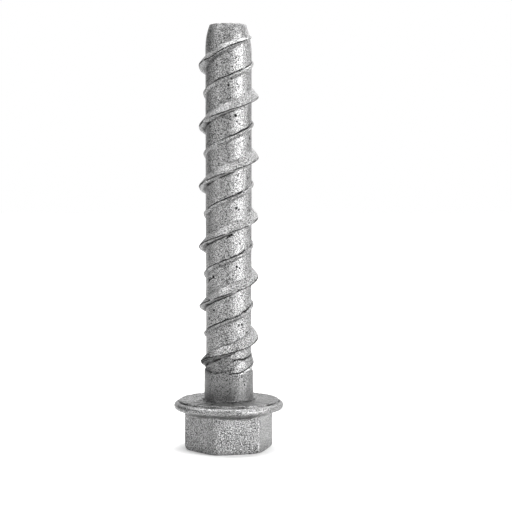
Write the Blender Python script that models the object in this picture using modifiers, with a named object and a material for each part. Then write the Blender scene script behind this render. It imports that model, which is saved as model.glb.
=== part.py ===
"""Concrete screw with a serrated hex flange head, a plain collar and a two-start
high-low thread. Metres, +Z up. It stands on its head: the origin is the centre of the
head's outer face, and the tip points up."""

from math import cos, floor, lcm, pi, radians, sin, sqrt, tan, tau

import bmesh
import bpy
from mathutils import Matrix

MM = 0.001

# Hex
HEX_ACROSS_FLATS = 19.0 * MM
HEX_CORNER_ANGLE = radians(12)
HEX_CORNER_ROUNDING = 0.5 * MM
HEX_END_ROUNDING = 1.3 * MM
HEX_END_INSET = 1.2 * MM

# Flange and its serrated bearing face
HEAD_HEIGHT = 11.9 * MM
FLANGE_DIAMETER = 26.5 * MM
RIM_THICKNESS = 2.3 * MM
RIM_WIDTH = 1.3 * MM
RIM_DROP = 0.45 * MM
RIM_STEP_WIDTH = 0.22 * MM
RIM_LOWER_ROUNDING = 0.8 * MM
SKIRT_SLOPE = radians(22)
SERRATION_COUNT = 24
SERRATION_DEPTH = 0.35 * MM
SERRATION_WIDTH = 0.7 * MM
SERRATION_START_IN_FILLETS = 0.8
COLLAR_FILLET = 0.5 * MM

# Shank
LENGTH_UNDER_HEAD = 90.0 * MM
COLLAR_STEP_HEIGHT = 0.4 * MM
COLLAR_LENGTH = 6.5 * MM
COLLAR_STEP_LENGTH = 0.45 * MM
CORE_DIAMETER = 11.06 * MM
TIP_DIAMETER = 8.56 * MM
TIP_TAPER_LENGTH = 6.5 * MM
TIP_DOME_HEIGHT = 0.15 * MM

# Thread, right-handed, with two starts
LEAD = 14.39 * MM
HIGH_RIDGE_HEIGHT = 1.65 * MM
HIGH_TIP_FLANK = 1.9 * MM
HIGH_HEAD_FLANK = 0.6 * MM
HIGH_CREST_WIDTH = 0.4 * MM
HIGH_START_BELOW_TIP = 1.8 * MM
HIGH_START_ANGLE = radians(25)
HIGH_FADE_IN_TURNS = 0.55
HIGH_START_LIFT = 1.0 * MM
HIGH_LIFT_FROM_TURNS = 0.07
HIGH_LIFT_TO_TURNS = 0.46
HIGH_END_ABOVE_COLLAR = 0.4 * MM
HIGH_FADE_OUT_TURNS = 0.14
HIGH_CREST_ROUNDING = 0.08 * MM
LOW_RIDGE_HEIGHT = 0.51 * MM
LOW_TIP_FLANK = 0.35 * MM
LOW_HEAD_FLANK = 0.7 * MM
LOW_CREST_WIDTH = 0.2 * MM
LOW_OFFSET_IN_LEADS = 0.453
LOW_START_BELOW_TIP = 4.8 * MM
LOW_FADE_IN_TURNS = 0.25
LOW_END_INTO_COLLAR = 0.5 * MM
LOW_FADE_OUT_TURNS = 0.12
LOW_FACET_WIDTH = 3.8 * MM
LOW_FACET_TURNS = 0.42
LOW_CREST_ROUNDING = 0.03 * MM

# Facets and joining
TURN_STEPS = 48
SMOOTH_UP_TO = radians(35)
ARC_STEPS = 5
DOME_STEPS = 3
THREAD_STEPS = 36
MERGE_DISTANCE = 0.000001
JOIN_DEPTH = 0.6 * MM
ROOT_DEPTH = 0.12 * MM
CUT_MARGIN = 1.0 * MM
SUNK_GROWTH = 0.1
GROWTH_POWER = 0.75

# Sizes that follow from those above
BEARING_Z = HEAD_HEIGHT
TOTAL_LENGTH = HEAD_HEIGHT + LENGTH_UNDER_HEAD
HEX_CORNER_RADIUS = HEX_ACROSS_FLATS / sqrt(3)
FLANGE_RADIUS = FLANGE_DIAMETER / 2
SERRATED_RADIUS = FLANGE_RADIUS - RIM_WIDTH
CORE_RADIUS = CORE_DIAMETER / 2
COLLAR_RADIUS = CORE_RADIUS + COLLAR_STEP_HEIGHT
COLLAR_TOP_Z = BEARING_Z + COLLAR_LENGTH
TIP_RADIUS = TIP_DIAMETER / 2
TIP_EDGE_Z = TOTAL_LENGTH - TIP_DOME_HEIGHT
TAPER_BASE_Z = TIP_EDGE_Z - TIP_TAPER_LENGTH


def clear_scene():
    for obj in list(bpy.data.objects):
        bpy.data.objects.remove(obj, do_unlink=True)


def new_collection(name):
    collection = bpy.data.collections.new(name)
    bpy.context.scene.collection.children.link(collection)
    return collection


def galvanised_steel():
    material = bpy.data.materials.new("galvanised_steel")
    material.use_nodes = True
    shader = material.node_tree.nodes["Principled BSDF"]
    shader.inputs["Base Color"].default_value = (0.40, 0.40, 0.41, 1.0)
    shader.inputs["Metallic"].default_value = 0.7
    shader.inputs["Roughness"].default_value = 0.55
    return material


def add_object(name, mesh, collection):
    obj = bpy.data.objects.new(name, mesh)
    collection.objects.link(obj)
    return obj


def mark_as_tool(obj):
    """A solid that is only joined to the screw, or cut from it."""
    obj.hide_render = True
    obj.display_type = "WIRE"
    return obj


def ellipse_arc(centre, half_width, half_height, start, end):
    """Points on an ellipse arc, with its angles counted from +X towards +Z."""
    angles = [start + (end - start) * i / ARC_STEPS for i in range(ARC_STEPS + 1)]
    return [(centre[0] + half_width * cos(a), centre[1] + half_height * sin(a)) for a in angles]


def turned(name, outline, collection):
    """Turns an outline of (radius, z) points, given from the top down, around Z."""
    mesh = bpy.data.meshes.new(name)
    verts = [(radius, 0.0, z) for radius, z in outline]
    edges = [(i, i + 1) for i in range(len(verts) - 1)]
    mesh.from_pydata(verts, edges, [])
    obj = add_object(name, mesh, collection)
    screw = obj.modifiers.new("Turn", "SCREW")
    screw.axis = "Z"
    screw.steps = TURN_STEPS
    screw.render_steps = TURN_STEPS
    screw.use_merge_vertices = True
    screw.merge_threshold = MERGE_DISTANCE
    return obj


def core_radius_at(z):
    """The core is straight up to the tip, which narrows along a parabola."""
    share = max(0.0, min(1.0, (z - TAPER_BASE_Z) / TIP_TAPER_LENGTH))
    return CORE_RADIUS - (CORE_RADIUS - TIP_RADIUS) * share * share


def tip_outline():
    """A slightly domed end face and the taper down to the core."""
    dome_steps = [i / DOME_STEPS for i in range(DOME_STEPS)]
    dome = [(TIP_RADIUS * t, TIP_EDGE_Z + TIP_DOME_HEIGHT * (1 - t * t)) for t in dome_steps]
    taper_heights = [TIP_EDGE_Z - TIP_TAPER_LENGTH * i / ARC_STEPS for i in range(ARC_STEPS + 1)]
    return dome + [(core_radius_at(z), z) for z in taper_heights]


def collar_outline():
    """The step from the core to the plain collar, and the fillet at its foot."""
    foot = ellipse_arc(
        (COLLAR_RADIUS + COLLAR_FILLET, BEARING_Z + COLLAR_FILLET),
        COLLAR_FILLET,
        COLLAR_FILLET,
        pi,
        1.5 * pi,
    )
    step = [(CORE_RADIUS, COLLAR_TOP_Z + COLLAR_STEP_LENGTH), (COLLAR_RADIUS, COLLAR_TOP_Z)]
    return step + foot


def flange_outline():
    """The bearing face, the low rounded rim around it and the skirt behind it."""
    rim_top_z = BEARING_Z - RIM_DROP
    rim_bottom_z = BEARING_Z - RIM_THICKNESS
    rim_start = SERRATED_RADIUS + RIM_STEP_WIDTH
    rounding = FLANGE_RADIUS - rim_start
    upper_height = rim_top_z - rim_bottom_z - RIM_LOWER_ROUNDING
    upper = ellipse_arc(
        (rim_start, rim_bottom_z + RIM_LOWER_ROUNDING), rounding, upper_height, pi / 2, 0.0
    )
    lower = ellipse_arc(
        (FLANGE_RADIUS - RIM_LOWER_ROUNDING, rim_bottom_z + RIM_LOWER_ROUNDING),
        RIM_LOWER_ROUNDING,
        RIM_LOWER_ROUNDING,
        0.0,
        -pi / 2,
    )
    skirt_radius = HEX_ACROSS_FLATS / 2 - HEX_CORNER_ROUNDING
    skirt_drop = (lower[-1][0] - skirt_radius) * tan(SKIRT_SLOPE)
    skirt_end = (skirt_radius, rim_bottom_z - skirt_drop)
    return [(SERRATED_RADIUS, BEARING_Z)] + upper + lower[1:] + [skirt_end, (0.0, skirt_end[1])]


def build_turned_body(collection):
    return turned("concrete_screw", tip_outline() + collar_outline() + flange_outline(), collection)


def mesh_from(bm, name):
    """Closes a bmesh with its faces pointing out and returns it as a mesh."""
    bmesh.ops.recalc_face_normals(bm, faces=bm.faces[:])
    mesh = bpy.data.meshes.new(name)
    bm.to_mesh(mesh)
    bm.free()
    return mesh


def combine(obj, other, operation):
    boolean = obj.modifiers.new(other.name, "BOOLEAN")
    boolean.operation = operation
    boolean.solver = "EXACT"
    boolean.object = other


def build_hex(tools):
    """A six-sided block with rounded corners whose outer end is rounded by a turned shape."""
    top_z = BEARING_Z - RIM_THICKNESS / 2
    bottom_z = -CUT_MARGIN
    turn = Matrix.Rotation(HEX_CORNER_ANGLE - pi / 2, 4, "Z")
    bm = bmesh.new()
    bmesh.ops.create_cone(
        bm,
        cap_ends=True,
        segments=6,
        radius1=HEX_CORNER_RADIUS,
        radius2=HEX_CORNER_RADIUS,
        depth=top_z - bottom_z,
        matrix=Matrix.Translation((0.0, 0.0, (top_z + bottom_z) / 2)) @ turn,
    )
    upright = [edge for edge in bm.edges if abs(edge.verts[0].co.z - edge.verts[1].co.z) > top_z / 2]
    bmesh.ops.bevel(bm, geom=upright, offset=HEX_CORNER_ROUNDING, segments=2, profile=0.5, affect="EDGES")
    block = mark_as_tool(add_object("hex_block", mesh_from(bm, "hex_block"), tools))
    combine(block, build_hex_end(tools, top_z), "INTERSECT")
    return block


def build_hex_end(tools, top_z):
    """The turned shape that the hex stays inside, rounded at the head's outer face."""
    end_radius = HEX_CORNER_RADIUS - HEX_END_INSET
    rounding = ellipse_arc((end_radius, HEX_END_ROUNDING), HEX_END_INSET, HEX_END_ROUNDING, 0.0, -pi / 2)
    top = top_z + CUT_MARGIN
    outline = [(0.0, top), (HEX_CORNER_RADIUS, top)] + rounding + [(0.0, 0.0)]
    return mark_as_tool(turned("hex_end", outline, tools))


def growth_at(turns_from_start, turns_to_end, fade_in, fade_out):
    """A ridge's share of its full height: quick to rise out of the core, then slower."""
    share = max(0.0, min(1.0, turns_from_start / fade_in, turns_to_end / fade_out))
    return SUNK_GROWTH + (1.0 - SUNK_GROWTH) * share**GROWTH_POWER


def ridge_section(z, growth, height, crest_width, rounding, head_flank, tip_flank):
    """One cut through a ridge as (radius, z) points, its foot sunk into the core."""
    foot = core_radius_at(z) - JOIN_DEPTH
    crest = foot + (CORE_RADIUS + height - foot) * growth
    edge = crest - rounding
    spread = growth * growth
    half = crest_width / 2 * spread
    tip_side = z + half + tip_flank * spread
    head_side = z - half - head_flank * spread
    tip_root = min(core_radius_at(tip_side) - ROOT_DEPTH, edge)
    head_root = min(core_radius_at(head_side) - ROOT_DEPTH, edge)
    return [
        (foot - JOIN_DEPTH, tip_side),
        (tip_root, tip_side),
        (edge, z + half),
        (crest, z),
        (edge, z - half),
        (head_root, head_side),
        (foot - JOIN_DEPTH, head_side),
    ]


def station_angles(start_angle, turns):
    """Evenly spaced angles down a ridge, each clear of the edges between the core's facets."""
    spacing = tau / THREAD_STEPS
    clear_of_edges = tau / (2 * lcm(TURN_STEPS, THREAD_STEPS))
    first = floor((start_angle - clear_of_edges) / spacing)
    last = floor((start_angle - tau * turns) / spacing)
    return [spacing * i + clear_of_edges for i in range(first, last, -1)]


def high_lift_at(turned_by):
    """The high crest swings above an even helix in its first half turn."""
    share = (turned_by - HIGH_LIFT_FROM_TURNS) / (HIGH_LIFT_TO_TURNS - HIGH_LIFT_FROM_TURNS)
    return HIGH_START_LIFT * sin(pi * max(0.0, min(1.0, share)))


def no_lift_at(turned_by):
    return 0.0


def high_tip_flank_at(turns_to_end):
    return HIGH_TIP_FLANK


def low_tip_flank_at(turns_to_end):
    """The low ridge widens into a broad facet before it ends."""
    share = max(0.0, 1.0 - turns_to_end / LOW_FACET_TURNS)
    return LOW_TIP_FLANK + (LOW_FACET_WIDTH - LOW_TIP_FLANK) * share


def build_ridge(name, span, start_angle, fade_turns, lift_at, tip_flank_at, section_sizes, tools):
    """Lofts a ridge section down a right-handed helix, from the tip's side to the head's."""
    start_z, end_z = span
    turns = (start_z - end_z) / LEAD
    bm = bmesh.new()
    rings = []
    for angle in station_angles(start_angle, turns):
        turned_by = (start_angle - angle) / tau
        turns_to_end = turns - turned_by
        growth = growth_at(turned_by, turns_to_end, *fade_turns)
        z = start_z - LEAD * turned_by + lift_at(turned_by)
        section = ridge_section(z, growth, *section_sizes, tip_flank_at(turns_to_end))
        rings.append([bm.verts.new((r * cos(angle), r * sin(angle), z)) for r, z in section])
    for ring, following in zip(rings, rings[1:]):
        for j in range(len(ring)):
            k = (j + 1) % len(ring)
            bm.faces.new((ring[j], ring[k], following[k], following[j]))
    bm.faces.new(rings[0])
    bm.faces.new(rings[-1])
    bmesh.ops.triangulate(bm, faces=bm.faces[:])
    return mark_as_tool(add_object(name, mesh_from(bm, name), tools))


def build_high_ridge(tools):
    return build_ridge(
        "high_ridge",
        (TOTAL_LENGTH - HIGH_START_BELOW_TIP, COLLAR_TOP_Z + HIGH_END_ABOVE_COLLAR),
        HIGH_START_ANGLE,
        (HIGH_FADE_IN_TURNS, HIGH_FADE_OUT_TURNS),
        high_lift_at,
        high_tip_flank_at,
        (HIGH_RIDGE_HEIGHT, HIGH_CREST_WIDTH, HIGH_CREST_ROUNDING, HIGH_HEAD_FLANK),
        tools,
    )


def build_low_ridge(tools):
    """The low ridge runs between the turns of the high one."""
    start_z = TOTAL_LENGTH - LOW_START_BELOW_TIP
    above_high_ridge = start_z - (TOTAL_LENGTH - HIGH_START_BELOW_TIP) + LOW_OFFSET_IN_LEADS * LEAD
    return build_ridge(
        "low_ridge",
        (start_z, COLLAR_TOP_Z - LOW_END_INTO_COLLAR),
        HIGH_START_ANGLE + tau * above_high_ridge / LEAD,
        (LOW_FADE_IN_TURNS, LOW_FADE_OUT_TURNS),
        no_lift_at,
        low_tip_flank_at,
        (LOW_RIDGE_HEIGHT, LOW_CREST_WIDTH, LOW_CREST_ROUNDING, LOW_HEAD_FLANK),
        tools,
    )


def build_serration_groove(tools):
    """One radial groove: a steep wall, and a ramp up from its foot to the next land."""
    over = SERRATION_DEPTH
    ramp = SERRATION_WIDTH * (SERRATION_DEPTH + over) / SERRATION_DEPTH
    inner = COLLAR_RADIUS + SERRATION_START_IN_FILLETS * COLLAR_FILLET
    outer = SERRATED_RADIUS + RIM_DROP
    curve = bpy.data.curves.new("serration_groove", "CURVE")
    curve.dimensions = "2D"
    curve.fill_mode = "BOTH"
    curve.extrude = (outer - inner) / 2
    outline = [(0.0, -SERRATION_DEPTH), (ramp, over), (0.0, over)]
    spline = curve.splines.new("POLY")
    spline.points.add(len(outline) - 1)
    for point, (x, y) in zip(spline.points, outline):
        point.co = (x, y, 0.0, 1.0)
    spline.use_cyclic_u = True
    groove = add_object("serration_groove", curve, tools)
    mesh = bpy.data.meshes.new_from_object(groove.evaluated_get(bpy.context.evaluated_depsgraph_get()))
    bpy.data.objects.remove(groove, do_unlink=True)
    across_up_and_out = Matrix(((0, 0, 1, 0), (1, 0, 0, 0), (0, 1, 0, 0), (0, 0, 0, 1)))
    mesh.transform(Matrix.Translation(((inner + outer) / 2, 0.0, BEARING_Z)) @ across_up_and_out)
    return mesh


def build_serration_cutter(tools):
    """The grooves repeated around the bearing face."""
    groove = build_serration_groove(tools)
    bm = bmesh.new()
    pitch = Matrix.Rotation(tau / SERRATION_COUNT, 3, "Z")
    for _ in range(SERRATION_COUNT):
        bm.from_mesh(groove)
        bmesh.ops.rotate(bm, verts=bm.verts[:], matrix=pitch)
    bmesh.ops.remove_doubles(bm, verts=bm.verts[:], dist=MERGE_DISTANCE)
    half_facet = Matrix.Rotation(pi / TURN_STEPS, 3, "Z")
    bmesh.ops.rotate(bm, verts=bm.verts[:], matrix=half_facet)
    bpy.data.meshes.remove(groove)
    return mark_as_tool(add_object("serration_cutter", mesh_from(bm, "serration_cutter"), tools))


def bake(obj):
    """Replaces an object's modifiers with the mesh that they give, shaded smooth by angle."""
    evaluated = obj.evaluated_get(bpy.context.evaluated_depsgraph_get())
    mesh = bpy.data.meshes.new_from_object(evaluated)
    obj.modifiers.clear()
    obj.data = mesh
    mesh.shade_smooth()
    mesh.set_sharp_from_angle(angle=SMOOTH_UP_TO)


def build_screw():
    tools = new_collection("joined_and_cut_shapes")
    screw = build_turned_body(new_collection("concrete_screw"))
    combine(screw, build_high_ridge(tools), "UNION")
    combine(screw, build_low_ridge(tools), "UNION")
    combine(screw, build_hex(tools), "UNION")
    combine(screw, build_serration_cutter(tools), "DIFFERENCE")
    bake(screw)
    screw.data.materials.append(galvanised_steel())
    return screw


clear_scene()
build_screw()
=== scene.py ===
"""Looks for the concrete screw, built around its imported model.

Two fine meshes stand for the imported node: the shank with its thread, and the head. Both
are lattices whose rows follow the ridges, the serrations and the hexagon. All sizes below
are in millimetres, with the origin at the centre of the head's outer face and +Z along the
screw to its tip.
"""

from math import atan, cos, pi, radians, sin, sqrt, tan, tau
from types import SimpleNamespace

import bpy
import numpy as np
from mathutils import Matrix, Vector


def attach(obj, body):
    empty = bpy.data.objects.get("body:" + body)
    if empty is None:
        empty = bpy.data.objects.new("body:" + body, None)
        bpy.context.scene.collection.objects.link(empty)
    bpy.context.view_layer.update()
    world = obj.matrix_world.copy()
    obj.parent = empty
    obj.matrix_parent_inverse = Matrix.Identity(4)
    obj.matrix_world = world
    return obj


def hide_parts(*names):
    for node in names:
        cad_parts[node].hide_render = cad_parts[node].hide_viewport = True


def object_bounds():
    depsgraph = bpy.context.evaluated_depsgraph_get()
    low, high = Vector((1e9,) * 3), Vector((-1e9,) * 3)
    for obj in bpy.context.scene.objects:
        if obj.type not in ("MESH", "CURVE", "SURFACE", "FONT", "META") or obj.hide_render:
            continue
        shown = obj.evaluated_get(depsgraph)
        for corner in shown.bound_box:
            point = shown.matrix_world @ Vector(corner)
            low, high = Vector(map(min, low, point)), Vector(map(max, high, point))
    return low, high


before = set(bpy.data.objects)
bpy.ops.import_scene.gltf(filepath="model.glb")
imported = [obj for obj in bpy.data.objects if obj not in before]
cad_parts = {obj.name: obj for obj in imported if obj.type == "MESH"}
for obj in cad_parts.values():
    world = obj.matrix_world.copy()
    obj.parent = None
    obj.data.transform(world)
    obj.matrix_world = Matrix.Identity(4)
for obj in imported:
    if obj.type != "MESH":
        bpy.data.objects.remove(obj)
CAD_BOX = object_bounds()

MM = 0.001

# Head
HEX_ACROSS_FLATS = 19.0
HEX_CORNER_ANGLE = radians(12)
HEX_CORNER_RADIUS = 0.9
HEX_END_ROUNDING = 1.3
HEX_END_INSET = 1.2
HEX_END_EDGE = 0.3
HEX_ROOT_FILLET = 0.55
BEARING_Z = 11.9
HEAD_CENTRE_Z = BEARING_Z - 0.15
FLANGE_RADIUS = round(CAD_BOX[1][0] / MM, 3)
RIM_WIDTH = 1.3
RIM_DROP = 0.45
RIM_STEP_WIDTH = 0.22
RIM_THICKNESS = 2.3
RIM_LOWER_ROUNDING = 0.8
SKIRT_RADIUS = FLANGE_RADIUS - RIM_LOWER_ROUNDING
SKIRT_TOP_Z = BEARING_Z - RIM_THICKNESS
SKIRT_SLOPE = radians(22)
SERRATION_COUNT = 24
SERRATION_DEPTH = 0.35
SERRATION_WIDTH = 0.7
SERRATION_ANGLE = radians(3.75)
SERRATED_FROM_RADIUS = 6.25
SERRATED_TO_RADIUS = 11.85
FACE_FROM_RADIUS = 5.8
FACE_TO_RADIUS = 12.3

# Shank
TOTAL_LENGTH = round(CAD_BOX[1][2] / MM, 3)
COLLAR_RADIUS = 5.93
COLLAR_LENGTH = 6.5
COLLAR_TOP_Z = BEARING_Z + COLLAR_LENGTH
COLLAR_STEP_LENGTH = 0.9
CORE_RADIUS = 5.53
TIP_RADIUS = 4.34
TIP_TAPER_LENGTH = 6.3
TIP_DOME_HEIGHT = 0.15
TIP_EDGE_ROUNDING = 0.22
TIP_LEAN = 0.16
TIP_EDGE_Z = TOTAL_LENGTH - TIP_DOME_HEIGHT
TAPER_BASE_Z = TIP_EDGE_Z - TIP_TAPER_LENGTH
FOOT_FLARE = 0.42
FOOT_SUNK_Z = BEARING_Z - 0.7

# Thread
LEAD = 14.39
START_ANGLE = radians(25)
HIGH_START_Z = TOTAL_LENGTH - 1.8
HIGH_END_Z = COLLAR_TOP_Z + 0.4
LOW_START_Z = TOTAL_LENGTH - 4.8
LOW_END_Z = COLLAR_TOP_Z - 1.2
LOW_OFFSET = 0.453 * LEAD
LOW_START_ANGLE = START_ANGLE + tau * (LOW_START_Z - HIGH_START_Z + LOW_OFFSET) / LEAD
HIGH_HEIGHT = 1.65
HIGH_HALF_CREST = 0.2
HIGH_TIP_FLANK = 1.9
LOW_HEIGHT = 0.51
LOW_HALF_CREST = 0.1
LOW_HEAD_FLANK = 0.7
JOIN_DEPTH = 0.6
HIGH_TURNS = (HIGH_START_Z - HIGH_END_Z) / LEAD
LOW_TURNS = (LOW_START_Z - LOW_END_Z) / LEAD

# Zinc: the height of its lumps, how dull it is on the collar, and the painted shade down to its foot
SHANK_LUMPS = 0.022
HEAD_LUMPS = 0.028
COLLAR_DULL = 0.29
FOOT_SHADE = 0.18

# Its textures, in cells to a metre, the share of cells with a speck, the strength of the
# grain and the specks on the smoother collar, and the height of the finest relief
GRAIN_SCALE = 4100
FINE_GRAIN_SCALE = 6500
MOTTLE_SCALE = 520
PATCH_SCALE = 95
SPECK_SCALE = 1100
SPECK_SHARE = 0.2
COLLAR_GRAIN = 0.42
COLLAR_SPECKS = 0.5
RELIEF_HEIGHT = 0.055

# Meshes. The rings on the two end faces are shares of the faces' radius
SHANK_COLUMNS = 176
HEAD_COLUMNS = 360
LATTICE_TOP_Z = TOTAL_LENGTH - 0.4
LATTICE_BOTTOM_Z = COLLAR_TOP_Z - 2.0
WIDEST_ROW = 0.24
SNAP_DISTANCE = 0.04
TIP_FACE_RINGS = (0.97, 0.93, 0.86, 0.76, 0.64, 0.5, 0.34, 0.17)
HEAD_FACE_RINGS = (0.97, 0.92, 0.85, 0.75, 0.62, 0.45, 0.25)

# Odd numbers that stir the places of the noise
STIR_X, STIR_Y, STIR_Z, STIR_SEED, STIR_AGAIN = 374761393, 668265263, 2147483647, 974634777, 1274126177


def hashed(ix, iy, iz, seed):
    """A repeatable number from -1 to 1 for each whole-numbered place."""
    mixed = (
        ix.astype(np.uint32) * np.uint32(STIR_X)
        + iy.astype(np.uint32) * np.uint32(STIR_Y)
        + iz.astype(np.uint32) * np.uint32(STIR_Z)
        + np.uint32(seed) * np.uint32(STIR_SEED)
    )
    mixed = (mixed ^ (mixed >> np.uint32(13))) * np.uint32(STIR_AGAIN)
    mixed = mixed ^ (mixed >> np.uint32(16))
    return (mixed & np.uint32(0xFFFFFF)).astype(float) / 0x7FFFFF - 1.0


def smooth_noise(points, size, seed):
    """Smooth noise from -1 to 1 whose lumps are about size millimetres wide."""
    # The shift keeps the whole numbers above zero
    scaled = points / size + 1000.0
    base = np.floor(scaled).astype(np.int64)
    part = scaled - base
    fade = part * part * part * (part * (part * 6 - 15) + 10)
    total = np.zeros(len(points))
    for dx in (0, 1):
        for dy in (0, 1):
            for dz in (0, 1):
                weight = (
                    (fade[:, 0] if dx else 1 - fade[:, 0])
                    * (fade[:, 1] if dy else 1 - fade[:, 1])
                    * (fade[:, 2] if dz else 1 - fade[:, 2])
                )
                total += weight * hashed(base[:, 0] + dx, base[:, 1] + dy, base[:, 2] + dz, seed)
    return total


def line_noise(along, size, seed):
    """The same along one line, such as a ridge's crest."""
    zeros = np.zeros(np.size(along))
    points = np.stack([np.ravel(along), zeros, zeros], 1)
    return smooth_noise(points, size, seed).reshape(np.shape(along))


def smoothstep(low, high, value):
    t = np.clip((value - low) / (high - low), 0.0, 1.0)
    return t * t * (3 - 2 * t)


def soft_max(a, b, softness):
    return 0.5 * (a + b + np.sqrt((a - b) ** 2 + softness**2))


def broken(along, size, seed, gap, whole):
    """1 where a line runs whole and 0 in its gaps, given the noise levels of both."""
    return smoothstep(gap, whole, line_noise(along, size, seed))


def groove(offset, half_width):
    """1 at the middle of a groove and 0 at its edges and beyond."""
    t = np.clip(1 - (offset / half_width) ** 2, 0.0, 1.0)
    return t * t


def core_radius(z):
    share = np.clip((z - TAPER_BASE_Z) / TIP_TAPER_LENGTH, 0.0, 1.0)
    return CORE_RADIUS - (CORE_RADIUS - TIP_RADIUS) * share * share


def high_shift(turns):
    """How far the high crest lies above an even helix: it starts late and ends early."""
    start = np.interp(
        turns,
        (0.0, 0.07, 0.10, 0.19, 0.26, 0.30, 0.33, 0.35, 0.39, 0.43, 0.48, 0.54),
        (-0.3, -0.1, 0.08, 0.56, 0.74, 0.70, 0.60, 0.48, 0.06, -0.30, -0.20, 0.0),
    )
    end = np.interp(
        turns - HIGH_TURNS,
        (-0.50, -0.42, -0.31, -0.195, -0.08, 0.0),
        (0.0, 0.08, 0.31, 0.85, 0.66, 0.62),
    )
    return start + end + 0.05 * line_noise(turns, 0.13, 3)


def low_shift(turns):
    """The same for the low crest, which only swings at its end."""
    end = 0.34 * smoothstep(LOW_TURNS - 0.36, LOW_TURNS - 0.16, turns)
    end = end + 0.75 * smoothstep(LOW_TURNS - 0.06, LOW_TURNS, turns)
    return end + 0.05 * line_noise(turns, 0.11, 5)


def low_growth(turns):
    """The low ridge's share of its full height. Its end is cut off short."""
    share = np.clip(np.minimum(turns / 0.25, (LOW_TURNS - turns) / 0.014), 0.0, 1.0)
    return 0.1 + 0.9 * share**0.75


def high_growth(turns):
    """The high ridge steps up at its start, then climbs to its full height in half a turn."""
    start = np.interp(
        turns, (0.0, 0.03, 0.07, 0.20, 0.35, 0.50), (0.12, 0.33, 0.46, 0.58, 0.78, 1.0)
    )
    end = np.clip((HIGH_TURNS - turns) / 0.13, 0.0, 1.0)
    return np.minimum(start, 0.1 + 0.9 * end**0.75)


def high_head_flank(turns):
    """Width of the high ridge's flank on the head's side, which rolls over at both ends."""
    width = np.interp(
        turns,
        (0.0, 0.07, 0.21, 0.27, 0.32, 0.38, 0.44, 0.80, 5.25, 5.34, 5.44, 5.65),
        (0.4, 0.60, 0.66, 0.95, 1.12, 0.66, 0.45, 0.42, 0.35, 0.60, 1.00, 0.80),
    )
    return width + 0.08 * line_noise(turns, 0.09, 12)


def low_tip_flank(to_end):
    """Width of the low ridge's flank on the tip's side, which ends in a broad facet."""
    return np.interp(
        to_end,
        (0.0, 0.03, 0.067, 0.11, 0.14, 0.17, 0.25, 0.42),
        (4.15, 4.1, 3.8, 3.2, 3.0, 2.95, 2.3, 0.35),
    )


def ridge_height(offset, height, half_crest, tip_flank, head_flank, crest_rounding):
    """Height over the core across a ridge. offset is positive on the head's side."""
    side = np.abs(offset)
    flank = np.where(offset < 0, tip_flank, head_flank)
    t = (side - half_crest) / flank
    t = np.where(offset < 0, t, np.sign(t) * np.abs(t) ** 1.6)
    top = height - crest_rounding * np.clip(side / half_crest, 0, 1) ** 2
    drop = np.maximum(height - crest_rounding + 0.12, 0.1)
    slope = height - crest_rounding - drop * t
    return np.where(t < 0, top, slope)


def marked(marks):
    """Depth and painted shade of a ridge's marks, each given as its shape, depth and strength of
    painted shade.
    """
    return sum(m * depth for m, depth, _ in marks), sum(m * painted_shade for m, _, painted_shade in marks)


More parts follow.
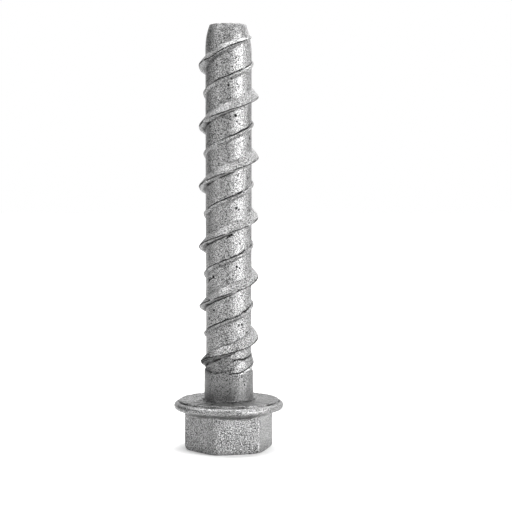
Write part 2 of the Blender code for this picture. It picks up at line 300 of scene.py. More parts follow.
def high_ridge(theta, offset, turns):
    """The high ridge at each lattice point: its height over the core and what marks it.

    Places and widths across the ridge are in millimetres, and stretches along it in turns.
    """
    right = np.cos(theta)
    inside = (turns > 0) & (turns < HIGH_TURNS)
    grown = high_growth(turns)
    spread = grown * grown
    top = (HIGH_HEIGHT + JOIN_DEPTH) * grown - JOIN_DEPTH + 0.05 * line_noise(turns, 0.06, 11)
    flank = high_head_flank(turns)
    half_crest = HIGH_HALF_CREST * spread
    height = ridge_height(offset, top, half_crest, HIGH_TIP_FLANK * spread, flank, 0.07)

    # Laps are the folds that rolling leaves along the crest, the root and the flanks; each is cut in a
    # little and darkened with painted shade
    wobble = 0.04 * line_noise(turns, 0.02, 31)
    first_swing = np.exp(-(((turns - 0.27) / 0.08) ** 2))
    first_turn = smoothstep(0.75, 0.5, turns)
    broken_crest = broken(turns, 0.03, 21, -0.75, -0.1)
    crest_place = 0.10 + 0.05 * first_swing - 0.2 * smoothstep(0.7, 0.95, right) - wobble
    crest_lap = groove(offset - crest_place, 0.18 + 0.06 * first_swing) * inside
    crest_lap = crest_lap * np.maximum(broken_crest, first_swing) * np.maximum(grown, 0.85)
    crest_lap = crest_lap * (0.45 + 0.55 * smoothstep(0.19, 0.23, turns))

    root_line = groove(offset - half_crest - flank + wobble, 0.22) * inside
    root_line = root_line * np.maximum(broken(turns, 0.04, 22, -0.95, -0.05), 0.9 * first_turn)
    root_line = root_line * (1 - 0.5 * first_turn) * (0.3 + 0.7 * smoothstep(0.35, 0.05, right))
    root_line = root_line * (1 - 0.5 * smoothstep(0.8, 0.95, -right))

    fold_laps = groove(offset + 0.38 + 2 * wobble, 0.14) * broken_crest * inside
    fold_laps = fold_laps * smoothstep(0.34, 0.38, turns) * smoothstep(0.56, 0.50, turns)
    tip_root = groove(offset + 2.15, 0.24) * inside
    tip_root = tip_root * smoothstep(HIGH_TURNS - 0.55, HIGH_TURNS - 0.42, turns)

    drift = 0.5 * wobble - 0.5 * line_noise(turns, 0.08, 34)
    under_laps = sum(groove(offset - flank - place + drift, 0.15) for place in (0.55, 0.85))
    under_laps = under_laps * broken(turns, 0.13, 33, 0.1, 0.5) * inside
    under_laps = under_laps * smoothstep(0.0, 0.6, -np.cos(theta + radians(20)))
    under_laps = under_laps * smoothstep(HIGH_TURNS - 0.2, HIGH_TURNS - 0.5, turns)
    under_laps = under_laps * smoothstep(0.6, 0.9, turns)

    end_laps = sum(groove(offset - place, 0.16) for place in (-1.15, -0.7, -0.25, 0.5)) * inside
    end_laps = end_laps * smoothstep(HIGH_TURNS - 0.27, HIGH_TURNS - 0.19, turns)
    end_laps = end_laps * broken(turns * 3 + offset, 0.1, 24, -0.5, 0.2)

    cuts, painted_shade = marked((
        (crest_lap, 0.15, 1.4 + 0.4 * first_swing),
        (root_line, 0.13, 1.6 - 0.6 * first_turn),
        (fold_laps, 0.10, 1.2),
        (tip_root, 0.06, 0.7),
        (under_laps, 0.10, 1.0),
        (end_laps, 0.12, 1.4),
    ))

    # Painted light on the head-side flank that the ridge shades, except on the first turn and at the
    # far left, and a painted highlight beside the crest where the ridge starts
    painted_flank_light = groove(offset - half_crest - 0.55 * flank, 0.5 * flank) * inside
    painted_flank_light = painted_flank_light * (1 - 1.05 * first_turn) * smoothstep(0.88, 0.72, -right)
    painted_start_light = groove(offset + 0.14, 0.2) * smoothstep(0.25, 0.21, turns) * inside
    return SimpleNamespace(
        height=np.where(inside, height, -JOIN_DEPTH),
        cuts=cuts,
        painted_shade=painted_shade,
        painted_light=painted_flank_light + 0.5 * painted_start_light,
        rolled=smoothstep(-2.3, -1.9, offset) * smoothstep(-0.3, -0.6, offset) * inside,
    )


def low_ridge(theta, offset, turns, high_turns):
    """The low ridge in the same way, and the broad facet that it ends in."""
    right = np.cos(theta)
    to_end = LOW_TURNS - turns
    # The end is cut at a slant, further round at the foot of the facet
    to_cut = to_end + 0.009 + 0.006 * np.minimum(offset, 0)
    inside = (turns > 0) & (to_cut > 0)
    grown = low_growth(LOW_TURNS - to_cut)
    spread = grown * grown
    top = (LOW_HEIGHT + JOIN_DEPTH) * grown - JOIN_DEPTH + 0.04 * line_noise(turns, 0.05, 13)
    flank = low_tip_flank(to_end)
    head_flank = LOW_HEAD_FLANK * spread
    height = ridge_height(offset, top, LOW_HALF_CREST, flank * spread, head_flank, 0.03)

    # Laps as on the high ridge, cut in a little and darkened with painted shade; the line along the
    # slanted cut is painted shade alone
    at_end = smoothstep(1.0, 2.4, flank)
    whole_lap = np.maximum(broken(turns, 0.035, 23, -1.0, -0.2), at_end)
    lap_place = -(flank + 0.08) * np.maximum(spread, at_end)
    lap_place = lap_place + 0.07 * line_noise(turns, 0.03, 25) * (1 + at_end)
    lap = groove(offset - lap_place, 0.18 + 0.12 * at_end) * whole_lap * inside
    lip_line = groove(offset + 0.42, 0.2) * at_end * inside
    root_line = groove(offset - 0.82 * spread, 0.14) * inside
    root_line = root_line * broken(high_turns, 0.04, 22, -0.95, -0.05)
    cut_line = groove(to_cut - 0.004, 0.006) * (offset < -0.4) * inside
    cut_line = cut_line * broken(offset, 0.3, 35, -0.6, 0.2)
    cuts, painted_shade = marked((
        (lap, 0.15, 1.5),
        (lip_line, 0.10, 0.9),
        (root_line, 0.05, 0.35),
        (cut_line, 0.0, 0.7),
    ))

    # Painted highlight along the crest beside the lap, and painted light on the facet's lip except at
    # the far right
    painted_crest_light = groove(offset - lap_place - 0.24, 0.16) * (1 - at_end) * inside
    painted_crest_light = painted_crest_light * broken(turns, 0.05, 27, -0.4, 0.2)
    painted_lip_light = groove(offset + 0.05, 0.3) * at_end * smoothstep(0.02, 0.07, to_end) * inside
    painted_lip_light = painted_lip_light * smoothstep(0.97, 0.85, right)
    # Painted shade: a little over the facet, and more along the crest on the left side
    on_facet = at_end * inside * (offset > -3.9) * (offset < 0)
    return SimpleNamespace(
        height=np.where(inside, height, -JOIN_DEPTH),
        cuts=cuts,
        painted_shade=painted_shade,
        painted_light=0.55 * painted_crest_light + 0.45 * painted_lip_light,
        rolled=at_end * smoothstep(-3.6, -3.2, offset) * (offset < -0.6) * inside,
        at_end=at_end,
        on_facet=on_facet,
        shade=0.1 * on_facet + 0.25 * smoothstep(0.72, 0.9, -right) * groove(offset, 0.9) * inside,
    )


def shank_surface(theta, z, high_offset, high_turns, low_offset, low_turns):
    """Radius at each lattice point, and its dullness, painted shade and painted light, from its place
    across and along both ridges.
    """
    right = np.cos(theta)
    high = high_ridge(theta, high_offset, high_turns)
    low = low_ridge(theta, low_offset, low_turns, high_turns)
    core = core_radius(z)
    on_collar = smoothstep(COLLAR_TOP_Z + COLLAR_STEP_LENGTH, COLLAR_TOP_Z - 0.05, z)
    radius = soft_max(core + (COLLAR_RADIUS - CORE_RADIUS) * on_collar, core + high.height, 0.16)
    radius = soft_max(radius, core + low.height, 0.07)

    # Fine streaks run along the flanks that the rollers pressed
    rolled = np.maximum(high.rolled, low.rolled)
    streak = line_noise(high_offset + 0.25 * line_noise(high_turns, 0.25, 30), 0.27, 29)
    # A crease above the collar's step, cut in a little and darkened with painted shade
    collar_line = groove(z - COLLAR_TOP_Z - 0.3, 0.2) * broken(theta * 5.5, 0.9, 26, -0.7, 0.1)
    radius = radius - high.cuts - low.cuts - 0.03 * collar_line + 0.028 * rolled * streak
    dullness_and_painted_light = np.clip(high.painted_shade + low.painted_shade + 0.5 * collar_line, 0, 1) - high.painted_light - low.painted_light

    # The zinc is duller on the collar; painted shade darkens the shank above it at the front left and
    # the tip's right side
    dull = COLLAR_DULL * smoothstep(COLLAR_TOP_Z + 0.3, COLLAR_TOP_Z - 0.6, z)
    near_collar = smoothstep(COLLAR_TOP_Z + 4.4, COLLAR_TOP_Z + 3.0, z)
    run_out_shade = near_collar * smoothstep(0.55, 0.85, np.cos(theta + radians(127)))
    run_out_shade = run_out_shade * (0.42 + 0.15 * line_noise(z, 0.3, 28))
    run_out_shade = run_out_shade * (1 - dull / COLLAR_DULL) * (1 - low.on_facet)
    near_tip = smoothstep(TOTAL_LENGTH - 4.9, TOTAL_LENGTH - 2.9, z)
    tip = 0.17 * near_tip * smoothstep(0.0, 0.3, right) * (dullness_and_painted_light < 0.3)
    # The streaks darken and lighten the flanks; the pale ones are weaker on the right side, which is
    # painted shade
    dark_streaks = (0.2 + 0.2 * low.at_end) * np.maximum(-streak, 0)
    pale_streaks = (0.2 - 0.14 * smoothstep(0.45, 0.75, right)) * np.maximum(streak, 0)
    streaks = rolled * (dark_streaks - pale_streaks - 0.02)
    return radius, np.clip(dullness_and_painted_light + dull + run_out_shade + tip + streaks + low.shade, -1, 1)


def filled(offsets, end, widest):
    """The offsets of the lattice rows in one lead, with no gap wider than widest."""
    rows = []
    for here, following in zip(offsets, offsets[1:] + [end]):
        count = max(1, int(np.ceil((following - here) / widest - 1e-6)))
        rows += [here + (following - here) * i / count for i in range(count)]
    return np.array(rows)


HIGH_ROWS = [-2.4, -2.15, -1.95, -1.7, -1.4, -1.1, -0.8, -0.5, -0.3, -0.18, -0.08, 0.0]
HIGH_ROWS += [0.05, 0.1, 0.15, 0.22, 0.32, 0.45, 0.56, 0.67, 0.78, 0.9, 1.02, 1.14, 1.26, 1.38, 1.5]
LOW_ROWS = [-0.9, -0.7, -0.58, -0.51, -0.44, -0.37, -0.3, -0.2, -0.1, -0.04, 0.04, 0.1]
LOW_ROWS += [0.25, 0.42, 0.58, 0.7, 0.77, 0.84, 0.92, 1.1, 1.3]


def nearest_turn(theta, z, start_angle, start_z):
    """Turns from a ridge's start to its crest nearest to a point, and the offset from it."""
    turned = ((start_angle - theta) / tau) % 1.0
    level = (start_z - z) / LEAD
    turns = turned + np.round(level - turned)
    return turns, (level - turns) * LEAD


def thread_lattice():
    """Rows that follow the thread, cut off level at both ends.

    Returns the points, their dullness and painted light, the triangles and the numbers of the top and
    bottom rings.
    """
    offsets = HIGH_ROWS + [LOW_OFFSET + offset for offset in LOW_ROWS]
    rows = filled(offsets, LEAD + HIGH_ROWS[0], WIDEST_ROW)
    per_lead = len(rows)
    theta = tau * np.arange(SHANK_COLUMNS) / SHANK_COLUMNS
    turned = (START_ANGLE - theta) / tau
    first = -2
    last = int((HIGH_START_Z - LATTICE_BOTTOM_Z) / LEAD) + 2
    leads = np.repeat(np.arange(first, last), per_lead)[:, None]
    crest_z = HIGH_START_Z - LEAD * (turned[None, :] + leads)
    z = crest_z - np.tile(rows, last - first)[:, None]
    theta = np.broadcast_to(theta, z.shape)
    snapped_top = z > LATTICE_TOP_Z - SNAP_DISTANCE
    snapped_bottom = z < LATTICE_BOTTOM_Z + SNAP_DISTANCE
    z = np.where(snapped_top, LATTICE_TOP_Z, np.where(snapped_bottom, LATTICE_BOTTOM_Z, z))
    high_turns, high_offset = nearest_turn(theta, z, START_ANGLE, HIGH_START_Z)
    low_turns, low_offset = nearest_turn(theta, z, LOW_START_ANGLE, LOW_START_Z)
    radius, dullness_and_painted_light = shank_surface(theta, z, high_offset, high_turns, low_offset, low_turns)
    middle = ~(snapped_top | snapped_bottom)
    lift_high = high_shift(high_turns) * np.exp(-((high_offset / 2.6) ** 4))
    lift_low = low_shift(low_turns) * np.exp(-((low_offset / 2.2) ** 4))
    z = z + np.where(middle, lift_high + lift_low, 0.0)
    z = np.clip(z, LATTICE_BOTTOM_Z, LATTICE_TOP_Z)

    count, columns = z.shape
    index = np.arange(count * columns).reshape(count, columns)
    top_ring = np.argmax(~snapped_top, axis=0) - 1
    bottom_ring = count - np.argmax(~snapped_bottom[::-1], axis=0)
    column = np.arange(columns)
    index = np.where(snapped_top, index[top_ring, column][None, :], index)
    index = np.where(snapped_bottom, index[bottom_ring, column][None, :], index)
    right = np.empty_like(index)
    right[:, :-1] = index[:, 1:]
    # Past the last column the rows are one lead further on
    right[per_lead:, -1] = index[:-per_lead, 0]
    right[:per_lead, -1] = index[0, 0]
    a, b = index[:-1], right[:-1]
    c, d = right[1:], index[1:]
    halves = [np.stack(corners, -1).reshape(-1, 3) for corners in ([a, c, b], [a, d, c])]
    points = np.stack([radius * np.cos(theta), radius * np.sin(theta), z], -1).reshape(-1, 3)
    return (
        points,
        dullness_and_painted_light.reshape(-1),
        np.concatenate(halves),
        index[top_ring, column],
        index[bottom_ring, column],
    )


class Surface:
    """Points, their dullness and painted light and the triangles between them, built up ring by ring.
    """

    def __init__(self, points=None, dullness_and_painted_light=None, triangles=None):
        self.points = [] if points is None else [points]
        self.dullness_and_painted_light = [] if dullness_and_painted_light is None else [dullness_and_painted_light]
        self.triangles = [] if triangles is None else [triangles]
        self.count = 0 if points is None else len(points)

    def ring(self, radius, theta, z, dullness_and_painted_light=0.0):
        """Adds one ring of points and returns their numbers."""
        radius, theta, z, dullness_and_painted_light = np.broadcast_arrays(radius, theta, z, dullness_and_painted_light)
        self.points.append(np.stack([radius * np.cos(theta), radius * np.sin(theta), z], 1))
        self.dullness_and_painted_light.append(np.array(dullness_and_painted_light, float))
        numbers = np.arange(self.count, self.count + len(radius))
        self.count += len(radius)
        return numbers

    def bridge(self, upper, lower):
        """Joins two rings, the upper one nearer to the tip along the outline."""
        a, b = upper, np.roll(upper, -1)
        d, c = lower, np.roll(lower, -1)
        self.triangles.append(np.stack([a, c, b], 1))
        self.triangles.append(np.stack([a, d, c], 1))

    def close(self, ring, z, facing_up):
        """Fans a ring to a point on the axis."""
        self.points.append(np.array([[0.0, 0.0, z]]))
        self.dullness_and_painted_light.append(np.zeros(1))
        middle = np.full(len(ring), self.count)
        self.count += 1
        following = np.roll(ring, -1)
        fan = [middle, ring, following] if facing_up else [middle, following, ring]
        self.triangles.append(np.stack(fan, 1))

    def arrays(self):
        triangles = np.concatenate(self.triangles)
        a, b, c = triangles.T
        triangles = triangles[(a != b) & (b != c) & (a != c)]
        used, numbers = np.unique(triangles, return_inverse=True)
        points = np.concatenate(self.points)[used]
        return points, np.concatenate(self.dullness_and_painted_light)[used], numbers.reshape(-1, 3)


def vertex_normals(points, triangles):
    a, b, c = (points[triangles[:, i]] for i in range(3))
    face = np.cross(b - a, c - a)
    normals = np.zeros_like(points)
    for i in range(3):
        np.add.at(normals, triangles[:, i], face)
    return normals / np.maximum(np.linalg.norm(normals, axis=1, keepdims=True), 1e-12)


# Pits that the zinc has left open: angle in degrees, height and radius
PITS = (
    (-72.9, 79.97, 0.34),
    (-69.3, 78.54, 0.20),
    (-143.7, 77.52, 0.30),
    (-90.4, 87.00, 0.28),
    (-127.5, 85.51, 0.18),
    (-99.5, 98.07, 0.20),
    (-120.5, 91.83, 0.20),
    (-22.9, 74.66, 0.36),
    (-135.3, 75.16, 0.18),
    (-67.6, 87.29, 0.20),
    (-146.4, 73.98, 0.18),
    (-159.3, 73.28, 0.20),
    (-66.2, 65.74, 0.22),
    (-70.7, 58.07, 0.28),
    (-64.3, 57.66, 0.24),
    (-69.5, 44.18, 0.28),
    (-62.8, 43.90, 0.20),
    (-132.3, 41.74, 0.36),
    (-141.9, 41.27, 0.30),
    (-147.6, 40.95, 0.32),
    (-88.0, 51.50, 0.29),
    (-83.0, 51.80, 0.26),
    (-93.0, 51.20, 0.24),
    (-21.0, 51.11, 0.22),
    (-129.2, 33.74, 0.22),
    (-146.5, 31.71, 0.24),
    (-138.3, 31.29, 0.20),
    (-64.3, 30.21, 0.25),
    (-55.4, 30.36, 0.25),
    (-38.2, 28.42, 0.22),
    (-118.5, 14.71, 0.20),
    (-50.1, 15.91, 0.26),
    (-51.2, 16.75, 0.24),
)

# Pits on the unseen side: how many, and the reach of their angles, heights and radii
UNSEEN_PITS = 34
UNSEEN_ANGLES = (-10, 190)
UNSEEN_HEIGHTS = (BEARING_Z + 1.1, TOTAL_LENGTH - 2.9)
UNSEEN_RADII = (0.14, 0.34)


def pits_at(points, dullness_and_painted_light):
    """Depth of the pits at each point, and the dullness and painted light with the pits' added: dark
    hollows of bare steel and painted shade, and a painted highlight along one side of each rim.

    The side that the photograph doesn't show gets pits of the same kind.
    """
    angle = np.degrees(np.arctan2(points[:, 1], points[:, 0]))
    radius = np.hypot(points[:, 0], points[:, 1])
    placed = list(PITS)
    rng = np.random.default_rng(7)
    for _ in range(UNSEEN_PITS):
        reaches = (UNSEEN_ANGLES, UNSEEN_HEIGHTS, UNSEEN_RADII)
        placed.append([rng.uniform(*reach) for reach in reaches])
    depth = np.zeros(len(points))
    for pit_angle, pit_z, pit_radius in placed:
        across = np.radians((angle - pit_angle + 180) % 360 - 180) * radius
        distance = np.hypot(across, points[:, 2] - pit_z)
        shape = np.clip(1 - (distance / (pit_radius * 1.3)) ** 2, 0, 1)
        depth = np.maximum(depth, 0.6 * pit_radius * shape**1.2)
        # A painted highlight along one side of the rim, and a hollow darkened as bare steel with
        # painted shade
        rim = groove(distance - 1.45 * pit_radius, 0.4 * pit_radius) * (across > -0.3 * pit_radius)
        dullness_and_painted_light = np.maximum(dullness_and_painted_light - 0.5 * rim, np.clip(shape * 2.2, 0, 1) - (shape <= 0))
    return depth, dullness_and_painted_light


def roughened(points, triangles, amount, seed):
    """Moves the surface along its normals by the lumps of zinc. Returns it and the normals."""
    normals = vertex_normals(points, triangles)
    lumps = 0.5 * smooth_noise(points, 1.9, seed) + 0.5 * smooth_noise(points, 0.5, seed + 1)
    return points + normals * (amount * lumps)[:, None], normals


def kept_in_box(points):
    """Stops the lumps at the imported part's own reach."""
    radius = np.hypot(points[:, 0], points[:, 1])
    scale = np.minimum(1.0, FLANGE_RADIUS / np.maximum(radius, 1e-9))
    points[:, :2] *= scale[:, None]
    points[:, 2] = np.clip(points[:, 2], 0.0, TOTAL_LENGTH)
    return points


def new_piece(name, points, triangles, dullness_and_painted_light, material):
    mesh = bpy.data.meshes.new(name)
    mesh.from_pydata((points * MM).tolist(), [], triangles.tolist())
    mesh.shade_smooth()
    attribute = mesh.attributes.new("dullness_and_painted_light", "FLOAT", "POINT")
    attribute.data.foreach_set("value", dullness_and_painted_light.astype(np.float32))
    mesh.materials.append(material)
    piece = bpy.data.objects.new(name, mesh)
    bpy.context.scene.collection.objects.link(piece)
    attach(piece, "root")
    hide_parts("concrete_screw")


def build_shank(material):
    points, dullness_and_painted_light, triangles, top, bottom = thread_lattice()
    surface = Surface(points, dullness_and_painted_light, triangles)
    theta = tau * np.arange(SHANK_COLUMNS) / SHANK_COLUMNS

    last = top
    end_radius = TIP_RADIUS - TIP_EDGE_ROUNDING
    start = core_radius(LATTICE_TOP_Z)
    for angle in np.linspace(0, pi / 2, 8)[1:]:
        radius = end_radius + (start - end_radius) * cos(angle)
        height = LATTICE_TOP_Z + (TIP_EDGE_Z - LATTICE_TOP_Z) * sin(angle)
        ring = surface.ring(radius, theta, height)
        surface.bridge(ring, last)
        last = ring
    for share in TIP_FACE_RINGS:
        height = TIP_EDGE_Z + TIP_DOME_HEIGHT * (1 - share * share)
        ring = surface.ring(end_radius * share, theta, height)
        surface.bridge(ring, last)
        last = ring
    surface.close(last, TOTAL_LENGTH, True)

    last = bottom
    flare_z = BEARING_Z + FOOT_FLARE
    # Down the collar to its foot: its dullness, and painted shade that deepens towards the corner with
    # the flange
    for z in np.linspace(LATTICE_BOTTOM_Z, flare_z, 15)[1:]:
        dull = COLLAR_DULL + FOOT_SHADE * (LATTICE_BOTTOM_Z - z) / (LATTICE_BOTTOM_Z - flare_z)
        ring = surface.ring(COLLAR_RADIUS, theta, z, dull)
        surface.bridge(last, ring)
        last = ring
    # The flare into the bearing face, darkened with painted shade into the corner and broken in
    # patches; the sunk ring under it is black with painted shade
    for angle in np.linspace(0, pi / 2, 8)[1:]:
        crumbs = 0.10 * line_noise(theta * 6.2, 0.7, 31) * sin(angle)
        radius = COLLAR_RADIUS + FOOT_FLARE * (1 - cos(angle)) + crumbs
        patches = np.clip(0.8 + 1.2 * line_noise(theta * 6.2, 0.5, 32), 0, 1)
        painted_shade = 0.45 + 0.6 * sin(angle) ** 2 * patches
        ring = surface.ring(radius, theta, flare_z - FOOT_FLARE * sin(angle), painted_shade)
        surface.bridge(last, ring)
        last = ring
    ring = surface.ring(COLLAR_RADIUS + FOOT_FLARE, theta, FOOT_SUNK_Z, 1.0)
    surface.bridge(last, ring)
    surface.close(ring, FOOT_SUNK_Z, False)

    points, dullness_and_painted_light, triangles = surface.arrays()
    # The tip was cut a little off the axis
    points[:, 0] -= TIP_LEAN * smoothstep(TAPER_BASE_Z - 1, TIP_EDGE_Z, points[:, 2])
    points, normals = roughened(points, triangles, SHANK_LUMPS, 41)
    depth, dullness_and_painted_light = pits_at(points, dullness_and_painted_light)
    points = kept_in_box(points - normals * depth[:, None])
    new_piece("threaded_shank", points, triangles, dullness_and_painted_light, material)


def hex_radius(theta):
    """Distance from the axis to a hexagon with rounded corners, as flats and arcs."""
    apothem = HEX_ACROSS_FLATS / 2
    from_corner = np.abs((theta - HEX_CORNER_ANGLE + pi / 6) % (pi / 3) - pi / 6)
    flat = apothem / np.cos(pi / 6 - from_corner)
    centre = (apothem - HEX_CORNER_RADIUS) / cos(pi / 6)
    tangent_length = HEX_CORNER_RADIUS * tan(pi / 6)
    tangent_angle = pi / 6 - atan((apothem * tan(pi / 6) - tangent_length) / apothem)
    arc = centre * np.cos(from_corner) + np.sqrt(
        np.maximum(HEX_CORNER_RADIUS**2 - (centre * np.sin(from_corner)) ** 2, 0)
    )
    return np.where(from_corner < tangent_angle, arc, flat)


def serration_depth(theta, radius):
    """Depth of the radial grooves: a steep wall, then a ramp up to the next land."""
    pitch = tau / SERRATION_COUNT
    offset = (theta - SERRATION_ANGLE + 1e-6) % pitch
    across = radius * np.sin(offset)
    ramp = np.clip(1 - across / SERRATION_WIDTH, 0, 1)
    depth = SERRATION_DEPTH * ramp * smoothstep(0.004, 0.015, offset)
    return depth * smoothstep(SERRATED_FROM_RADIUS, SERRATED_FROM_RADIUS + 0.45, radius)


def land_rings():
    """Radius, height and painted shade down the bearing face and the rim, before the serrations."""
    rings = [(3.0, HEAD_CENTRE_Z, 0.0), (5.4, BEARING_Z - 0.1, 0.0)]
    near_foot = [5.9, 6.1, SERRATED_FROM_RADIUS, 6.4, 6.6]
    # Painted shade in the corner around the collar's foot
    for radius in np.concatenate([near_foot, np.linspace(6.85, SERRATED_TO_RADIUS, 21)]):
        rings.append((radius, BEARING_Z, float(0.8 * smoothstep(6.65, 6.3, radius))))
    # The step down to the rim, darkened with painted shade that runs on over the rim's top
    step = ((0.10, 0.03, 0.1), (0.16, 0.12, 0.3), (0.22, 0.26, 0.5), (0.28, 0.40, 0.7))
    for outward, drop, painted_shade in step:
        rings.append((SERRATED_TO_RADIUS + outward, BEARING_Z - drop, painted_shade))
    rim_start = FLANGE_RADIUS - RIM_WIDTH + RIM_STEP_WIDTH
    rim_top = BEARING_Z - RIM_DROP
    rim_middle = BEARING_Z - RIM_THICKNESS + RIM_LOWER_ROUNDING
    for i, angle in enumerate(np.linspace(pi / 2, 0, 13)):
        radius = rim_start + (FLANGE_RADIUS - rim_start) * cos(angle)
        height = rim_middle + (rim_top - rim_middle) * sin(angle)
        rings.append((radius, height, max(0.0, 0.7 - 0.25 * i)))
    for angle in np.linspace(0, -pi / 2, 8)[1:]:
        radius = FLANGE_RADIUS - RIM_LOWER_ROUNDING * (1 - cos(angle))
        rings.append((radius, rim_middle + RIM_LOWER_ROUNDING * sin(angle), 0.0))
    return rings


def add_bearing_face(surface, theta):
    """The serrated face and the rim, from the middle outwards. Returns the rim's last ring."""
    crumbs = np.clip(0.65 + 0.9 * line_noise(theta * 12, 1.6, 51), 0.3, 1.2)
    ragged = 0.05 * line_noise(theta * 12, 0.6, 52)
    last = None
    for radius, z, painted_shade in land_rings():
        depth = serration_depth(theta, radius)
        height = np.minimum(z, BEARING_Z - depth) if radius > FACE_FROM_RADIUS else z
        on_face = FACE_FROM_RADIUS < radius < FACE_TO_RADIUS
        # Painted shade broken by crumbly zinc, and painted shade over the serrated face that is deeper
        # in its grooves
        dullness_and_painted_light = painted_shade * crumbs + on_face * (0.15 + 0.3 * depth / SERRATION_DEPTH)
        ring = surface.ring(radius + painted_shade * ragged, theta, height, np.clip(dullness_and_painted_light, 0, 1))
        if last is None:
            surface.close(ring, HEAD_CENTRE_Z, True)
        else:
            surface.bridge(last, ring)
        last = ring
    return last


def add_skirt(surface, even, gathered, last):
    """The slope under the flange, from the rim's circle to the hexagon's foot."""
    for share in np.linspace(0, 1, 9)[1:]:
        theta = even + gathered * share
        inner = hex_radius(theta) + HEX_ROOT_FILLET
        radius = SKIRT_RADIUS + (inner - SKIRT_RADIUS) * share
        ring = surface.ring(radius, theta, SKIRT_TOP_Z - (SKIRT_RADIUS - radius) * tan(SKIRT_SLOPE))
        surface.bridge(last, ring)
        last = ring
    return last


def add_hexagon(surface, theta, last):
    """The fillet at its foot, its walls, their rounded end and the flat outer face."""
    wall = hex_radius(theta)
    root_z = SKIRT_TOP_Z - (SKIRT_RADIUS - wall - HEX_ROOT_FILLET) * tan(SKIRT_SLOPE)
    for angle in np.linspace(0, pi / 2, 7)[1:]:
        radius = wall + HEX_ROOT_FILLET * (1 - sin(angle))
        ring = surface.ring(radius, theta, root_z - HEX_ROOT_FILLET * (1 - cos(angle)))
        surface.bridge(last, ring)
        last = ring
    wall_top = root_z - HEX_ROOT_FILLET
    for share in np.linspace(0, 1, 13)[1:]:
        ring = surface.ring(wall, theta, wall_top + (HEX_END_ROUNDING - wall_top) * share)
        surface.bridge(last, ring)
        last = ring
    end_radius = HEX_ACROSS_FLATS / sqrt(3) - HEX_END_INSET
    for angle in np.linspace(0, pi / 2, 15)[1:]:
        z = HEX_END_ROUNDING * (1 - sin(angle))
        turned = end_radius + HEX_END_INSET * cos(angle)
        near_edge = max(0.0, (HEX_END_EDGE - z) / HEX_END_EDGE)
        edge = HEX_END_EDGE * (1 - sqrt(max(0.0, 1 - near_edge**2)))
        radius = wall + turned - soft_max(wall, turned, 0.15) - edge
        ring = surface.ring(radius, theta, z)
        surface.bridge(last, ring)
        last = ring
    for share in HEAD_FACE_RINGS:
        ring = surface.ring(radius * share, theta, 0.0)
        surface.bridge(last, ring)
        last = ring
    surface.close(last, 0.0, False)


def build_head(material):
    surface = Surface()
    even = tau * np.arange(HEAD_COLUMNS) / HEAD_COLUMNS + radians(0.75)
    # The columns gather at the hexagon's corners
    gathered = -0.1 * np.sin(6 * (even - HEX_CORNER_ANGLE))
    rim = add_bearing_face(surface, even)
    foot = add_skirt(surface, even, gathered, rim)
    add_hexagon(surface, even + gathered, foot)

    points, dullness_and_painted_light, triangles = surface.arrays()
    # The outer face that it stands on stays flat
    off_end = smoothstep(0.15, 0.6, points[:, 2])
    points, _ = roughened(points, triangles, HEAD_LUMPS * off_end, 61)
    new_piece("flange_head", kept_in_box(points), triangles, dullness_and_painted_light, material)


class Nodes:
    """Short ways to add shader nodes and link them."""

    def __init__(self, tree):
        self.tree = tree

    def add(self, kind, **settings):
        node = self.tree.nodes.new(kind)
        for name, value in settings.items():
            setattr(node, name, value)
        return node

    def link(self, source, target):
        self.tree.links.new(source, target)

    def feed(self, socket, value):
        if isinstance(value, bpy.types.NodeSocket):
            self.link(value, socket)
        else:
            socket.default_value = value

    def math(self, operation, *values, clamp=False):
        node = self.add("ShaderNodeMath", operation=operation, use_clamp=clamp)
        for socket, value in zip(node.inputs, values):
            self.feed(socket, value)
        return node.outputs[0]

    def noise(self, coordinates, scale, detail, roughness=0.55):
        node = self.add("ShaderNodeTexNoise")
        self.link(coordinates, node.inputs["Vector"])
        node.inputs["Scale"].default_value = scale
        node.inputs["Detail"].default_value = detail
        node.inputs["Roughness"].default_value = roughness
        return node.outputs["Fac"]

    def remap(self, value, low, high, to_low, to_high):
        node = self.add("ShaderNodeMapRange")
        for socket, number in zip(node.inputs, (value, low, high, to_low, to_high)):
            self.feed(socket, number)
        return node.outputs[0]


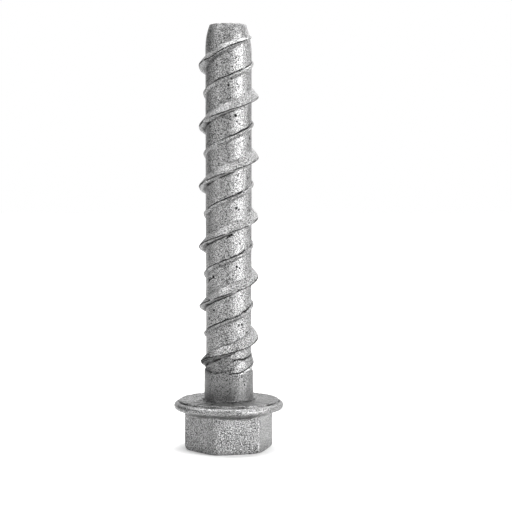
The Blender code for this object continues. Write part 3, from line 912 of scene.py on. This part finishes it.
def galvanised_steel():
    material = bpy.data.materials.new("galvanised_steel_finish")
    material.use_nodes = True
    nodes = Nodes(material.node_tree)
    shader = material.node_tree.nodes["Principled BSDF"]
    place = nodes.add("ShaderNodeTexCoord").outputs["Object"]
    dullness_and_painted_light = nodes.add("ShaderNodeAttribute", attribute_name="dullness_and_painted_light").outputs["Fac"]

    grain = nodes.remap(nodes.noise(place, GRAIN_SCALE, 2, 0.7), 0.39, 0.61, 0, 1)
    fine = nodes.noise(place, FINE_GRAIN_SCALE, 1)

    # The collar's zinc is smoother than the rest
    heights = nodes.add("ShaderNodeSeparateXYZ")
    nodes.link(place, heights.inputs[0])
    level = heights.outputs[2]
    above = nodes.remap(level, (COLLAR_TOP_Z - 1.9) * MM, (COLLAR_TOP_Z - 0.2) * MM, 0, 1)
    below = nodes.remap(level, (BEARING_Z + 0.6) * MM, BEARING_Z * MM, 0, 1)
    coarse = nodes.math("MAXIMUM", above, below)
    contrast = nodes.remap(coarse, 0, 1, COLLAR_GRAIN, 1)
    grain = nodes.math("MULTIPLY", nodes.math("SUBTRACT", grain, 0.5), contrast)
    grain = nodes.math("ADD", grain, 0.5)

    mottle = nodes.remap(nodes.noise(place, MOTTLE_SCALE, 3), 0.3, 0.7, 0, 1)
    patches = nodes.remap(nodes.noise(place, PATCH_SCALE, 2), 0.3, 0.7, 0, 1)

    specks = nodes.add("ShaderNodeTexVoronoi")
    nodes.link(place, specks.inputs["Vector"])
    specks.inputs["Scale"].default_value = SPECK_SCALE
    parts = nodes.add("ShaderNodeSeparateColor")
    nodes.link(specks.outputs["Color"], parts.inputs[0])
    chosen = nodes.math("GREATER_THAN", parts.outputs[0], 1 - SPECK_SHARE)
    speck = nodes.remap(specks.outputs["Distance"], 0.12, 0.34, 1, 0)
    speck = nodes.math("MULTIPLY", speck, chosen)
    dark_speck = nodes.math("MULTIPLY", speck, nodes.remap(coarse, 0, 1, COLLAR_SPECKS, 1))

    # Each texture's share of the tone, then what darkens or brightens it: specks, dullness, painted
    # shade and painted light
    tone = nodes.remap(fine, 0.3, 0.7, -0.155, 0.105)
    tone = nodes.math("ADD", tone, nodes.math("MULTIPLY", grain, 0.38))
    tone = nodes.math("ADD", tone, nodes.math("MULTIPLY", mottle, 0.05))
    tone = nodes.math("ADD", tone, nodes.math("MULTIPLY", patches, 0.03))
    tone = nodes.math("MULTIPLY", tone, nodes.remap(dark_speck, 0, 1, 1, 0.55))
    # Painted shade darkens the colour almost to black, and painted light brightens it up to three times
    tone = nodes.math("MULTIPLY", tone, nodes.remap(dullness_and_painted_light, 0, 1, 1, 0.05))
    tone = nodes.math("MULTIPLY", tone, nodes.remap(dullness_and_painted_light, 0, -1, 1, 3.0))
    colour = nodes.add("ShaderNodeCombineColor")
    for i in range(3):
        nodes.link(tone, colour.inputs[i])
    nodes.link(colour.outputs[0], shader.inputs["Base Color"])

    rough = nodes.math("ADD", 0.29, nodes.math("MULTIPLY", mottle, 0.1))
    rough = nodes.math("ADD", rough, nodes.remap(dullness_and_painted_light, 0, 1, 0, 0.4))
    nodes.link(rough, shader.inputs["Roughness"])
    shader.inputs["Metallic"].default_value = 0.9

    height = nodes.math("ADD", nodes.math("MULTIPLY", grain, 0.55), nodes.math("MULTIPLY", fine, 0.35))
    height = nodes.math("ADD", height, nodes.math("MULTIPLY", mottle, 0.2))
    height = nodes.math("SUBTRACT", height, nodes.math("MULTIPLY", speck, 0.8))
    bump = nodes.add("ShaderNodeBump")
    bump.inputs["Strength"].default_value = 1.0
    bump.inputs["Distance"].default_value = RELIEF_HEIGHT * MM
    nodes.link(height, bump.inputs["Height"])
    nodes.link(bump.outputs[0], shader.inputs["Normal"])
    return material


def seen_background(nodes):
    """1 for the rays that show the white background: camera, glossy and transmission."""
    path = nodes.add("ShaderNodeLightPath").outputs
    seen = nodes.math("MAXIMUM", path["Is Camera Ray"], path["Is Glossy Ray"])
    return nodes.math("MAXIMUM", seen, path["Is Transmission Ray"])


def build_world():
    """White where it is seen, and dimmer as a light."""
    world = bpy.data.worlds.new("studio")
    world.use_nodes = True
    nodes = Nodes(world.node_tree)
    background = world.node_tree.nodes["Background"]
    nodes.link(nodes.remap(seen_background(nodes), 0, 1, 0.45, 1.0), background.inputs["Strength"])
    background.inputs["Color"].default_value = (1, 1, 1, 1)
    bpy.context.scene.world = world


def build_floor():
    """White paper, which glows more the further it lies from the screw."""
    bpy.ops.mesh.primitive_plane_add(size=6)
    floor = bpy.context.object
    floor.name = "floor"
    material = bpy.data.materials.new("white_paper")
    material.use_nodes = True
    nodes = Nodes(material.node_tree)
    shader = material.node_tree.nodes["Principled BSDF"]
    shader.inputs["Base Color"].default_value = (0.8, 0.8, 0.8, 1)
    shader.inputs["Roughness"].default_value = 0.9
    shader.inputs["Specular IOR Level"].default_value = 0.1
    shader.inputs["Emission Color"].default_value = (1, 1, 1, 1)
    place = nodes.add("ShaderNodeTexCoord").outputs["Object"]
    distance = nodes.add("ShaderNodeVectorMath", operation="LENGTH")
    nodes.link(place, distance.inputs[0])
    glow = nodes.remap(distance.outputs["Value"], 0.03, 0.5, 0.08, 0.8)
    nodes.link(nodes.math("MULTIPLY", seen_background(nodes), glow), shader.inputs["Emission Strength"])
    floor.data.materials.append(material)


# What the lamps and cards face
SCREW_MIDDLE = (0, 0, 0.05)
UPPER_SHANK = (0, 0, 0.07)


def build_lamp(name, location, target, width, height, power):
    data = bpy.data.lights.new(name, "AREA")
    data.shape = "RECTANGLE"
    data.size = width
    data.size_y = height
    data.energy = power
    lamp = bpy.data.objects.new(name, data)
    bpy.context.scene.collection.objects.link(lamp)
    lamp.location = location
    lamp.rotation_euler = (Vector(target) - Vector(location)).to_track_quat("-Z", "Y").to_euler()


def build_card(name, location, width, height, brightness):
    """A grey card that only shows in the metal, as cards beside a studio camera do."""
    bpy.ops.mesh.primitive_plane_add(size=1)
    card = bpy.context.object
    card.name = name
    card.scale = (width, height, 1)
    card.location = location
    card.rotation_euler = (Vector(SCREW_MIDDLE) - Vector(location)).to_track_quat("Z", "Y").to_euler()
    material = bpy.data.materials.new(name)
    material.use_nodes = True
    shader = material.node_tree.nodes["Principled BSDF"]
    shader.inputs["Base Color"].default_value = (0, 0, 0, 1)
    shader.inputs["Specular IOR Level"].default_value = 0
    shader.inputs["Emission Color"].default_value = (1, 1, 1, 1)
    shader.inputs["Emission Strength"].default_value = brightness
    card.data.materials.append(material)
    for kind in ("camera", "diffuse", "transmission", "shadow"):
        setattr(card, "visible_" + kind, False)


def build_camera():
    """The photograph's view: its square frame, from just above the middle of the screw."""
    pitch = radians(2.893)
    yaw = radians(-1.180)
    forward = Vector((-sin(yaw) * cos(pitch), cos(yaw) * cos(pitch), -sin(pitch)))
    camera = bpy.data.objects.new("camera", bpy.data.cameras.new("camera"))
    bpy.context.scene.collection.objects.link(camera)
    camera.location = (0, -0.3189, 0.06262)
    camera.rotation_euler = forward.to_track_quat("-Z", "Y").to_euler()
    camera.data.sensor_width = 36
    camera.data.lens = 93.2
    camera.data.clip_start = 0.01
    bpy.context.scene.camera = camera


finish = galvanised_steel()
build_shank(finish)
build_head(finish)
build_world()
build_floor()
build_lamp("right_softbox", (0.585, -0.32, 0.15), SCREW_MIDDLE, 0.27, 0.7, 8.6)
build_lamp("left_softbox", (-0.52, -0.52, 0.25), SCREW_MIDDLE, 0.14, 0.5, 0.9)
build_lamp("top_softbox", (-0.05, 0.1, 0.8), SCREW_MIDDLE, 0.9, 0.45, 10.0)
build_lamp("back_softbox", (0.52, 0.6, 0.4), UPPER_SHANK, 0.4, 0.3, 1.4)
build_card("front_card", (-0.02, -0.7, 0.2), 0.5, 1.2, 0.05)
build_card("upper_card", (-0.02, -0.55, 0.6), 0.5, 0.5, 0.17)
build_card("left_card", (-0.6, 0.25, 0.1), 0.9, 0.8, 0.16)
build_card("right_card", (0.55, 0.4, 0.03), 0.7, 0.4, 0.6)
build_camera()
bpy.context.scene.view_settings.view_transform = "Standard"
